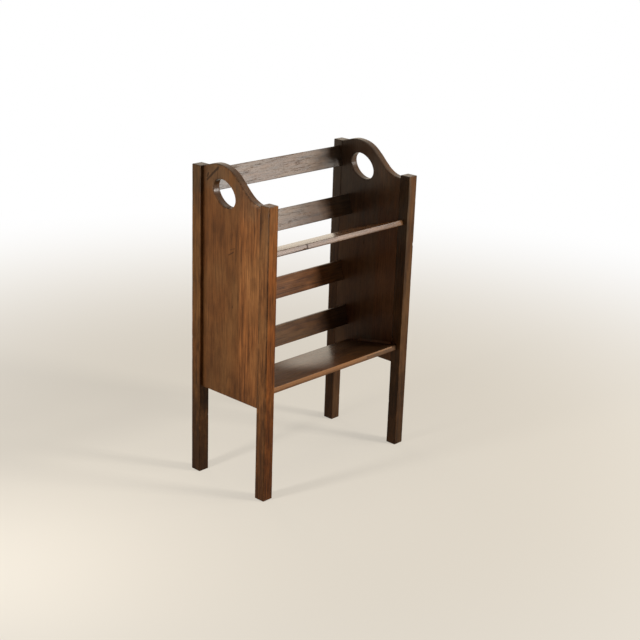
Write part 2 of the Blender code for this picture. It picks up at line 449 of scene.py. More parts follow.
def worn_panel(name, size, seed):
    """An end panel with its humped top, hand hole and worn, rounded edges."""
    bm = bmesh.new()
    layers = wear_layers(bm)
    outer = panel_rim(bm, layers, panel_outline(size), size.y, seed)
    inner = panel_rim(bm, layers, hole_outline(size), size.y, seed + HOLE_SEED)
    for loops in zip(outer, inner):
        edges = loop_edges(bm, loops[0]) + loop_edges(bm, loops[1])
        bmesh.ops.triangle_fill(bm, use_beauty=True, use_dissolve=False, edges=edges)
    bmesh.ops.recalc_face_normals(bm, faces=bm.faces)
    return mesh_from(bm, name)


def housing_cutters(boards):
    """Plain boxes, a fitting gap larger than the boards that the ends hold."""
    cutters = bpy.data.collections.new("housing_cutters")
    bpy.context.scene.collection.children.link(cutters)
    for size, matrix in boards:
        bm = bmesh.new()
        bmesh.ops.create_cube(bm, size=1.0)
        bmesh.ops.scale(bm, vec=size + Vector((2, 2, 2)) * HOUSING_GAP, verts=bm.verts)
        cutter = bpy.data.objects.new("housing_cutter", mesh_from(bm, "housing_cutter"))
        cutter.matrix_world = matrix
        cutters.objects.link(cutter)
    return cutters


def cut_housings(piece, cutters):
    """Cuts the housings out of a post or panel and keeps the result as its mesh."""
    boolean = piece.modifiers.new("housings", "BOOLEAN")
    boolean.solver = "MANIFOLD"
    boolean.operand_type = "COLLECTION"
    boolean.collection = cutters
    graph = bpy.context.evaluated_depsgraph_get()
    whole = piece.data
    piece.data = bpy.data.meshes.new_from_object(piece.evaluated_get(graph))
    piece.modifiers.clear()
    bpy.data.meshes.remove(whole)


def add_object(name, data):
    """A new object in the scene."""
    made = bpy.data.objects.new(name, data)
    bpy.context.scene.collection.objects.link(made)
    return made


def add_piece(node, mesh, matrix):
    """Puts a finer board in the place of its CAD node."""
    piece = add_object(node + "_worn", mesh)
    piece.matrix_world = matrix
    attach(piece, "root")
    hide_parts(node)
    return piece


def soften(piece):
    """Smooth shading that leaves the flat faces flat."""
    piece.data.shade_smooth()
    piece.data.set_sharp_from_angle(angle=SHARP_ANGLE)
    even = piece.modifiers.new("flat faces", "WEIGHTED_NORMAL")
    even.keep_sharp = True
    even.weight = FLAT_FACE_WEIGHT


# Helpers for nodes

SOCKET_KINDS = {1: "NodeSocketFloat", 3: "NodeSocketVector", 4: "NodeSocketColor"}
ORIGIN = (0, 0, 0)
BLACK = (0, 0, 0, 1)


def new_material(name):
    """A material, its nodes, and the place on its object's own axes."""
    material = bpy.data.materials.new(name)
    material.use_nodes = True
    place = add_node(material.node_tree, "ShaderNodeTexCoord").outputs["Object"]
    return material, material.node_tree, place


def feed(tree, socket, value):
    """Links a socket to an input, or writes a plain value in it."""
    if isinstance(value, bpy.types.NodeSocket):
        tree.links.new(value, socket)
    else:
        socket.default_value = value


def add_node(tree, kind, inputs=None, **settings):
    """A node with its settings, and its inputs fed by name or number."""
    node = tree.nodes.new(kind)
    for name, value in settings.items():
        setattr(node, name, value)
    for name, value in (inputs or {}).items():
        feed(tree, node.inputs[name], value)
    return node


def calc(tree, operation, first, second=0.0, third=0.0, clamp=False):
    """The result of a calculation with plain numbers."""
    node = add_node(tree, "ShaderNodeMath", {0: first, 1: second, 2: third}, operation=operation)
    node.use_clamp = clamp
    return node.outputs[0]


def vector_calc(tree, operation, first, second=ORIGIN):
    """The result of a calculation with places or directions."""
    node = add_node(tree, "ShaderNodeVectorMath", {0: first, 1: second}, operation=operation)
    return node.outputs["Value" if operation in ("DOT_PRODUCT", "LENGTH") else "Vector"]


def ramp(tree, value, low, high, start=0.0, end=1.0):
    """A smooth step from start to end as the value goes from low to high."""
    node = add_node(tree, "ShaderNodeMapRange", interpolation_type="SMOOTHSTEP")
    names = ("Value", "From Min", "From Max", "To Min", "To Max")
    for name, given in zip(names, (value, low, high, start, end)):
        feed(tree, node.inputs[name], given)
    return node.outputs[0]


def blend(tree, share, first, second, mode="MIX"):
    """A colour that goes from the first to the second as share goes from 0 to 1."""
    node = add_node(tree, "ShaderNodeMix", data_type="RGBA", blend_type=mode, clamp_factor=True)
    for name, value in (("Factor_Float", share), ("A_Color", first), ("B_Color", second)):
        socket = next(s for s in node.inputs if s.identifier == name)
        feed(tree, socket, value)
    return next(s for s in node.outputs if s.identifier == "Result_Color")


def tinted(tree, colour, tint):
    """A colour multiplied by another."""
    return blend(tree, 1.0, colour, tint, "MULTIPLY")


def scaled(tree, vector, share):
    """A direction made longer or shorter."""
    node = add_node(tree, "ShaderNodeVectorMath", {0: vector, "Scale": share}, operation="SCALE")
    return node.outputs["Vector"]


def stretched_noise(tree, place, cycles, detail, roughness=0.5):
    """Noise over the board's axes, with so many cycles per metre along each."""
    squeezed = vector_calc(tree, "MULTIPLY", place, cycles)
    node = add_node(tree, "ShaderNodeTexNoise", {"Vector": squeezed, "Scale": 1.0, "Detail": detail,
                                                 "Roughness": roughness})
    return node.outputs["Fac"]


def new_group(name, inputs, outputs):
    """An empty node group. Each socket is given by its default: a number, a place or a colour."""
    group = bpy.data.node_groups.new(name, "ShaderNodeTree")
    for direction, sockets in (("INPUT", inputs), ("OUTPUT", outputs)):
        for socket_name, default in sockets.items():
            kind = SOCKET_KINDS[len(default) if isinstance(default, tuple) else 1]
            socket = group.interface.new_socket(socket_name, in_out=direction, socket_type=kind)
            socket.default_value = default
    source = group.nodes.new("NodeGroupInput")
    sink = group.nodes.new("NodeGroupOutput")
    return group, source.outputs, sink.inputs


# Grain of the oak, in cycles per metre across, through and along the board
SWAY_CYCLES = (9, 9, 1.7)
RIPPLE_CYCLES = (60, 60, 7)
PORE_CYCLES = (1050, 1050, 60)
# The same for the rest of the figure, with the detail and roughness of its noise
FIGURE_NOISE = {
    "Fibres": ((380, 380, 11), 3.0, 0.65),
    "Flecks": ((170, 170, 24), 2.0, 0.55),
    "Tone": ((22, 22, 7), 2.0, 0.5),
    "Mottle": ((62, 62, 26), 3.0, 0.6),
}
FIGURE = ("Rings", "Pores", *FIGURE_NOISE)
# Growth rings: the tree's middle on the board's axes, their width, how far they wander, and where in each
# ring the early wood starts and ends
PITH = (0.0, -0.08, 0.0)
RING_WIDTH = 0.0030
SWAY_REACH = 0.030
RIPPLE_REACH = 0.0016
EARLY_WOOD_STARTS = (0.0, 0.12)
EARLY_WOOD_ENDS = (0.20, 0.62)
# Open pores: where they start in the noise, and how strong they are outside the early wood
OPEN_PORES = (0.55, 0.70)
PORES_IN_LATE_WOOD = 0.3
# How far apart the grain of one seed lies from the next one's
SEED_SHIFT = (0.731, 0.413, 1.177)


def oak_figure_group():
    """The grain of an oak board: growth rings, fibres, ray flecks, open pores and broad changes of tone."""
    group, given, result = new_group(
        "oak_figure",
        {"Board": ORIGIN, "Seed": 0.0},
        {name: 0.0 for name in FIGURE},
    )
    place = vector_calc(group, "ADD", given["Board"], scaled(group, SEED_SHIFT, given["Seed"]))
    sway = stretched_noise(group, place, SWAY_CYCLES, 2.0)
    ripple = stretched_noise(group, place, RIPPLE_CYCLES, 1.0)
    from_pith = vector_calc(group, "SUBTRACT", given["Board"], PITH)
    across = vector_calc(group, "MULTIPLY", from_pith, (1, 1, 0))
    radius = vector_calc(group, "LENGTH", across)
    radius = calc(group, "MULTIPLY_ADD", sway, SWAY_REACH, radius)
    radius = calc(group, "MULTIPLY_ADD", ripple, RIPPLE_REACH, radius)
    ring = calc(group, "FRACT", calc(group, "DIVIDE", radius, RING_WIDTH))
    started = ramp(group, ring, *EARLY_WOOD_STARTS)
    not_ended = ramp(group, ring, *EARLY_WOOD_ENDS, 1.0, 0.0)
    rings = calc(group, "MULTIPLY", started, not_ended)
    pores = ramp(group, stretched_noise(group, place, PORE_CYCLES, 1.0), *OPEN_PORES)
    where = calc(group, "MULTIPLY_ADD", rings, 1 - PORES_IN_LATE_WOOD, PORES_IN_LATE_WOOD)
    group.links.new(rings, result["Rings"])
    group.links.new(calc(group, "MULTIPLY", pores, where), result["Pores"])
    for name, pattern in FIGURE_NOISE.items():
        group.links.new(stretched_noise(group, place, *pattern), result[name])
    return group


# What the brown, or the colour so far, is multiplied by
DARK_GRAIN = (0.42, 0.40, 0.40, 1)
LIGHT_GRAIN = (1.62, 1.60, 1.52, 1)
REDDER = (1.06, 0.97, 0.90, 1)
GREYER = (0.97, 1.01, 1.05, 1)
IN_PORES = (0.45, 0.40, 0.36, 1)
SOAKED_WITH_STAIN = (0.50, 0.50, 0.50, 1)
# These four serve painted light too: the bare colour also paints highlights, and the greyer, grimy and
# marked colours also paint shade.
RUBBED_BARE_AND_HIGHLIGHT = (2.3, 2.5, 2.9, 1)
GREYER_FADED_AND_IN_SHADE = (0.88, 1.13, 1.65, 1)
UNDER_GRIME_AND_SHADE = (0.30, 0.26, 0.22, 1)
IN_MARKS_AND_SHADE_LINES = (0.34, 0.32, 0.32, 1)
# How strongly rings, pores and end grain show in the colour
RING_STRENGTH = 0.10
PORE_STRENGTH = 0.7
END_GRAIN_STRENGTH = 0.8
# Where in the noise the tone turns from redder to greyer, and where worn edges are rubbed bare
TONE_TURN = (0.35, 0.65)
RUBBED_PATCHES = (0.50, 0.66)
# What each adds to the roughness and to the height of the surface
PORE_ROUGHNESS = 0.20
MOTTLE_ROUGHNESS = 0.20
END_GRAIN_ROUGHNESS = -0.08
RUBBED_ROUGHNESS = 0.10
HEIGHTS = {"Pores": -0.55, "Rings": -0.08, "Fibres": 0.12, "Mottle": 0.3, "Marks": -0.6}


def satin_varnish_group():
    """Turns grain, wear, soiling, painted shade and highlights into colour, roughness and height of
    stained, varnished oak.
    """
    group, given, result = new_group(
        "satin_varnish",
        {"Rings": 0.0, "Fibres": 0.5, "Flecks": 0.5, "Pores": 0.0, "Tone": 0.5, "Mottle": 0.5,
         "Edge": 0.0, "End Grain": 0.0, "Brown": (0.13, 0.05, 0.02, 1),
         "Fibre Strength": 0.9, "Fleck Strength": 0.9, "Tone Strength": 0.9, "Mottle Strength": 0.7,
         "Wear": 0.25, "Edge Stain": 0.35, "Gloss": 0.34,
         "Marks": 0.0, "Scuffs": 0.0, "Faded": 0.0, "Grime": 0.0},
        {"Colour": BLACK, "Roughness": 0.0, "Height": 0.0},
    )
    share = 0.5
    for figure, strength in (("Fibres", "Fibre Strength"), ("Flecks", "Fleck Strength"),
                             ("Tone", "Tone Strength"), ("Mottle", "Mottle Strength")):
        offset = calc(group, "SUBTRACT", given[figure], 0.5)
        share = calc(group, "MULTIPLY_ADD", offset, given[strength], share)
    ring_share = calc(group, "MULTIPLY", given["Rings"], RING_STRENGTH)
    share = calc(group, "SUBTRACT", share, ring_share, clamp=True)
    dark = tinted(group, given["Brown"], DARK_GRAIN)
    light = tinted(group, given["Brown"], LIGHT_GRAIN)
    colour = blend(group, share, dark, light)
    hue = blend(group, ramp(group, given["Tone"], *TONE_TURN), REDDER, GREYER)
    colour = tinted(group, colour, hue)
    pores = calc(group, "MULTIPLY", given["Pores"], PORE_STRENGTH)
    colour = blend(group, pores, colour, tinted(group, colour, IN_PORES))
    soaked = tinted(group, colour, SOAKED_WITH_STAIN)
    colour = blend(group, calc(group, "MULTIPLY", given["End Grain"], END_GRAIN_STRENGTH), colour, soaked)
    colour = blend(group, calc(group, "MULTIPLY", given["Edge"], given["Edge Stain"]), colour, soaked)
    ragged = ramp(group, given["Mottle"], *RUBBED_PATCHES)
    rubbed = calc(group, "MULTIPLY", given["Edge"], calc(group, "MULTIPLY", ragged, given["Wear"]))
    bare_and_highlight = tinted(group, given["Brown"], RUBBED_BARE_AND_HIGHLIGHT)
    colour = blend(group, rubbed, colour, bare_and_highlight)
    # Fading greys the colour; some faded patches are the painted greyer tint of shade.
    colour = blend(group, given["Faded"], colour, tinted(group, colour, GREYER_FADED_AND_IN_SHADE))
    bare_and_highlight = blend(group, given["Faded"], bare_and_highlight, tinted(group, bare_and_highlight, GREYER_FADED_AND_IN_SHADE))
    # Grime darkens the colour; many grime patches are painted shade.
    colour = blend(group, given["Grime"], colour, tinted(group, colour, UNDER_GRIME_AND_SHADE))
    # Marks darken the colour; some are painted shade lines.
    colour = blend(group, given["Marks"], colour, tinted(group, colour, IN_MARKS_AND_SHADE_LINES))
    # Scuffs turn the colour to bare wood; some of them are painted highlights.
    colour = blend(group, given["Scuffs"], colour, bare_and_highlight)
    group.links.new(colour, result["Colour"])
    mottle = calc(group, "SUBTRACT", given["Mottle"], 0.5)
    rough = calc(group, "MULTIPLY_ADD", given["Pores"], PORE_ROUGHNESS, given["Gloss"])
    rough = calc(group, "MULTIPLY_ADD", mottle, MOTTLE_ROUGHNESS, rough)
    rough = calc(group, "MULTIPLY_ADD", given["End Grain"], END_GRAIN_ROUGHNESS, rough)
    rough = calc(group, "MULTIPLY_ADD", rubbed, RUBBED_ROUGHNESS, rough, clamp=True)
    group.links.new(rough, result["Roughness"])
    height = 0.0
    for name, depth in HEIGHTS.items():
        height = calc(group, "MULTIPLY_ADD", given[name], depth, height)
    group.links.new(height, result["Height"])
    return group


# Ragged outlines of lines and patches, in cycles per metre, and where their masks fade
LINE_CYCLES = (700, 700, 220)
LINE_FADE = (0.0, 0.7)
PATCH_CYCLES = (90, 90, 40)
PATCH_FADE = (0.25, 1.0)
PATCH_RAGGED = 1.2


def line_mask_group():
    """A mask that is 1 along a line between two points of the board."""
    group, given, result = new_group(
        "line_mask",
        {"Board": ORIGIN, "From": ORIGIN, "To": (0, 0, 1), "Width": 0.001},
        {"Mask": 0.0},
    )
    along = vector_calc(group, "SUBTRACT", given["To"], given["From"])
    offset = vector_calc(group, "SUBTRACT", given["Board"], given["From"])
    share = calc(group, "DIVIDE", vector_calc(group, "DOT_PRODUCT", offset, along),
                 vector_calc(group, "DOT_PRODUCT", along, along), clamp=True)
    away = vector_calc(group, "LENGTH", vector_calc(group, "SUBTRACT", offset, scaled(group, along, share)))
    ragged = stretched_noise(group, given["Board"], LINE_CYCLES, 2.0)
    away = calc(group, "MULTIPLY_ADD", calc(group, "SUBTRACT", ragged, 0.5), given["Width"], away)
    fade = calc(group, "SUBTRACT", 1.0, calc(group, "DIVIDE", away, given["Width"]), clamp=True)
    group.links.new(ramp(group, fade, *LINE_FADE), result["Mask"])
    return group


def patch_group():
    """A soft-edged, ragged patch round one point of the board."""
    group, given, result = new_group(
        "patch",
        {"Board": ORIGIN, "Middle": ORIGIN, "Size": (0.02, 0.02, 0.02), "Ragged": PATCH_RAGGED},
        {"Mask": 0.0},
    )
    offset = vector_calc(group, "SUBTRACT", given["Board"], given["Middle"])
    away = vector_calc(group, "LENGTH", vector_calc(group, "DIVIDE", offset, given["Size"]))
    ragged = stretched_noise(group, given["Board"], PATCH_CYCLES, 3.0, 0.6)
    away = calc(group, "MULTIPLY_ADD", calc(group, "SUBTRACT", ragged, 0.5), given["Ragged"], away)
    group.links.new(ramp(group, away, *PATCH_FADE, 1.0, 0.0), result["Mask"])
    return group


oak_figure = oak_figure_group()
satin_varnish = satin_varnish_group()
line_mask = line_mask_group()
patch = patch_group()


def masks_on_board(tree, board, matrix, group, spots, ragged=PATCH_RAGGED):
    """The strongest of several lines or patches that are given by places on the trough."""
    total = 0.0
    to_board = matrix.inverted()
    for spot in spots:
        node = add_node(tree, "ShaderNodeGroup", node_tree=group)
        feed(tree, node.inputs["Board"], board)
        if group == line_mask:
            first, last, width, strength = spot
            feed(tree, node.inputs["From"], to_board @ Vector(first))
            feed(tree, node.inputs["To"], to_board @ Vector(last))
            feed(tree, node.inputs["Width"], width)
        else:
            middle, size, strength = spot
            feed(tree, node.inputs["Middle"], to_board @ Vector(middle))
            feed(tree, node.inputs["Size"], size)
            feed(tree, node.inputs["Ragged"], ragged)
        mask = calc(tree, "MULTIPLY", node.outputs["Mask"], strength)
        total = calc(tree, "MAXIMUM", total, mask)
    return total


BUMP_STRENGTH = 0.3


def lay_finish(material, board, seed, masks, shine, bump_depth, finish):
    """Joins grain, masks and varnish to the shader of one wood."""
    tree = material.node_tree
    shader = tree.nodes["Principled BSDF"]
    figure = add_node(tree, "ShaderNodeGroup", node_tree=oak_figure)
    feed(tree, figure.inputs["Board"], board)
    feed(tree, figure.inputs["Seed"], seed)
    varnish = add_node(tree, "ShaderNodeGroup", node_tree=satin_varnish)
    for socket in FIGURE:
        feed(tree, varnish.inputs[socket], figure.outputs[socket])
    for socket, value in {**masks, **finish}.items():
        feed(tree, varnish.inputs[socket.replace("_", " ").title()], value)
    bump = add_node(tree, "ShaderNodeBump", {"Height": varnish.outputs["Height"]})
    bump.inputs["Strength"].default_value = BUMP_STRENGTH
    bump.inputs["Distance"].default_value = bump_depth
    feed(tree, shader.inputs["Base Color"], varnish.outputs["Colour"])
    feed(tree, shader.inputs["Roughness"], varnish.outputs["Roughness"])
    feed(tree, shader.inputs["Normal"], bump.outputs["Normal"])
    shader.inputs["Specular IOR Level"].default_value = shine
    return shader


# Painted shade in the corner beside a post, across the panel from it: where the soft shade ends, and the
# hard shade
SOFT_SHADE_END = 0.004
HARD_SHADE = (-0.0065, -0.0015)


def shade_beside_post(tree, across, where, soft_reach, soft, hard):
    """Painted shade in the corner between a panel and its post, at this place across the panel: the post's
    shadow.
    """
    near = calc(tree, "SUBTRACT", across, where)
    wide = calc(tree, "MULTIPLY", ramp(tree, near, -soft_reach, SOFT_SHADE_END), soft)
    return calc(tree, "MULTIPLY_ADD", ramp(tree, near, *HARD_SHADE), hard, wide)


# A panel's glued joint: half its width in the grain and in the colour, and the next board's seed
JOINT = 0.0006
JOINT_BLEND = 0.004
NEXT_BOARD_SEED = 3.7
# Thick varnish: how far it is worn off edges, and how ragged its patches are
VARNISH_WORN_AT_EDGES = 0.5
VARNISH_RAGGED = 0.2


def stained_oak(name, matrix, seed, brown, shine=0.10, scratches=(), scuffs=(), faded=(), grime=(),
                corner_grime=None, front_board=None, bump_depth=0.0004, thick_on_ends=0.0,
                thick_varnish=(), varnish_gloss=0.22, **finish):
    """The finish of one board: its own grain, its own brown, its own markings, painted shade and
    highlights, one varnish.
    """
    material, tree, board = new_material(name)
    spread = add_node(tree, "ShaderNodeSeparateXYZ", {0: board}).outputs
    brown = (*brown, 1)
    if front_board:
        joint = calc(tree, "MULTIPLY_ADD", spread["Z"], front_board["lean"], front_board["split"])
        past_joint = calc(tree, "SUBTRACT", spread["X"], joint)
        in_front = ramp(tree, past_joint, -JOINT, JOINT, 1.0, 0.0)
        near_front = ramp(tree, past_joint, -JOINT_BLEND, JOINT_BLEND, 1.0, 0.0)
        brown = blend(tree, near_front, brown, (*front_board["brown"], 1))
        seed = calc(tree, "MULTIPLY_ADD", in_front, NEXT_BOARD_SEED, seed)
        plain = finish["fibre_strength"]
        more = front_board["fibres"] - plain
        finish["fibre_strength"] = calc(tree, "MULTIPLY_ADD", in_front, more, plain)
    end_grain = add_node(tree, "ShaderNodeAttribute", attribute_name="end_grain").outputs["Fac"]
    # Darkening from grime patches, many of them painted shade, and the painted shade beside a post.
    darkening = masks_on_board(tree, board, matrix, patch, grime)
    if corner_grime:
        darkening = calc(tree, "MAXIMUM", darkening, shade_beside_post(tree, spread["X"], *corner_grime))
    masks = {
        "brown": brown,
        "edge": add_node(tree, "ShaderNodeAttribute", attribute_name="edge").outputs["Fac"],
        "end_grain": end_grain,
        "marks": masks_on_board(tree, board, matrix, line_mask, scratches),
        "scuffs": masks_on_board(tree, board, matrix, line_mask, scuffs),
        "faded": masks_on_board(tree, board, matrix, patch, faded),
        "grime": darkening,
    }
    shader = lay_finish(material, board, seed, masks, shine, bump_depth, finish)
    if thick_on_ends or thick_varnish:
        thick = calc(tree, "MULTIPLY", end_grain, thick_on_ends)
        patches = masks_on_board(tree, board, matrix, patch, thick_varnish, VARNISH_RAGGED)
        thick = calc(tree, "MAXIMUM", thick, patches)
        left = calc(tree, "MULTIPLY_ADD", masks["edge"], -VARNISH_WORN_AT_EDGES, 1.0)
        left = calc(tree, "SUBTRACT", left, masks["marks"], clamp=True)
        feed(tree, shader.inputs["Coat Weight"], calc(tree, "MULTIPLY", thick, left))
        shader.inputs["Coat Roughness"].default_value = varnish_gloss
    return material


BEECH_BROWN = (0.50, 0.35, 0.20, 1)
BEECH_SEED = 30.0


def bare_beech(name):
    """Unfinished beech for the dowels, whose grain runs from front to back."""
    material, tree, place = new_material(name)
    spread = add_node(tree, "ShaderNodeSeparateXYZ", {0: place}).outputs
    turned = {"X": spread["X"], "Y": spread["Z"], "Z": spread["Y"]}
    board = add_node(tree, "ShaderNodeCombineXYZ", turned).outputs[0]
    finish = dict(fibre_strength=0.35, fleck_strength=0.5, tone_strength=0.3, mottle_strength=0.15,
                  gloss=0.6)
    lay_finish(material, board, BEECH_SEED, {"brown": BEECH_BROWN}, shine=0.25, bump_depth=0.0002,
               finish=finish)
    return material


# Faces of the posts and panels that marks lie on, from the CAD
LEFT_FACE = cad_face("left_end_panel", X_AXIS, min)
RIGHT_FACE = cad_face("right_end_panel", X_AXIS, min)
PANEL_FRONT = cad_face("left_end_panel", Y_AXIS, min)
PANEL_BACK = cad_face("left_end_panel", Y_AXIS, max)
HOLE_WALL = (LEFT_FACE + cad_face("left_end_panel", X_AXIS, max)) / 2
POST_SIDE = cad_face("left_front_post", X_AXIS, min)
POST_INSIDE = cad_face("left_front_post", X_AXIS, max)
POST_FRONT = cad_face("left_front_post", Y_AXIS, min)
# A patch of this size has no end that way
WHOLE = 1.0
FOOT_DARKENING = (WHOLE, WHOLE, 0.42)
FOOT_DARKENING_MIDDLE = -0.05
END_SHADE = (WHOLE, WHOLE, 0.10)
BOARD_ENDS = (-0.225, 0.225)


def darker_foot(x, y, strength):
    """Darkening that rises from the floor up a post at this place."""
    return [((x, y, FOOT_DARKENING_MIDDLE), FOOT_DARKENING, strength)]


def shaded_ends(y, z, strength):
    """Painted shade at both ends of a slat at this place: patches for its darkening and for its greyer
    tint.
    """
    return [((x, y, z), END_SHADE, strength) for x in BOARD_ENDS]
